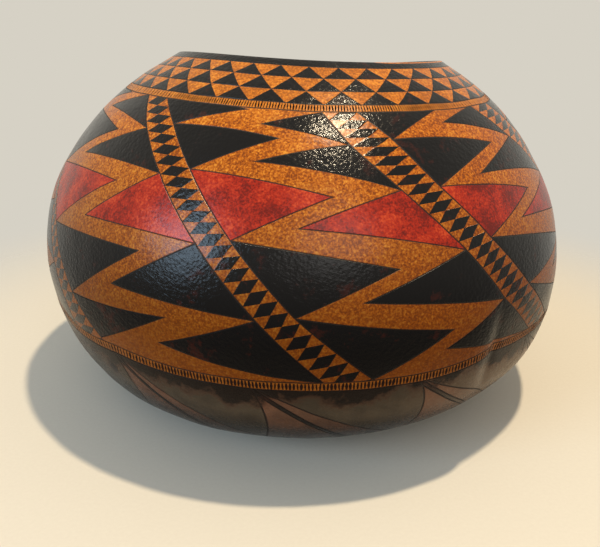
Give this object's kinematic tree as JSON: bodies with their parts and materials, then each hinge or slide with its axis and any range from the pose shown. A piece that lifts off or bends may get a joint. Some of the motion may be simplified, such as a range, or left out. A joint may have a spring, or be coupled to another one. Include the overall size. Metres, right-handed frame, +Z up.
{
  "type": "gourd bowl",
  "caption": "Wide, squat bowl made of a dried gourd cut open at the neck, its glossy rind covered in dyed triangles, slanting lozenge bands and zigzags.",
  "frame": {"origin": "centre of the plan, on the plane that the bowl stands on", "axes": "+Z up through the mouth, -Y towards the front, +X to the right seen from the front"},
  "size_m": [0.3902, 0.3868, 0.2607],
  "materials": {
    "rind": "tan gourd rind with burnt black and red dyed fields under a clear gloss",
    "pith": "scraped, matt and fibrous",
    "scar": "rough cork"
  },
  "bodies": {
    "root": {"gourd_rind": "rind", "pith_lining": "pith", "blossom_scar": "scar"}
  },
  "joints": []
}
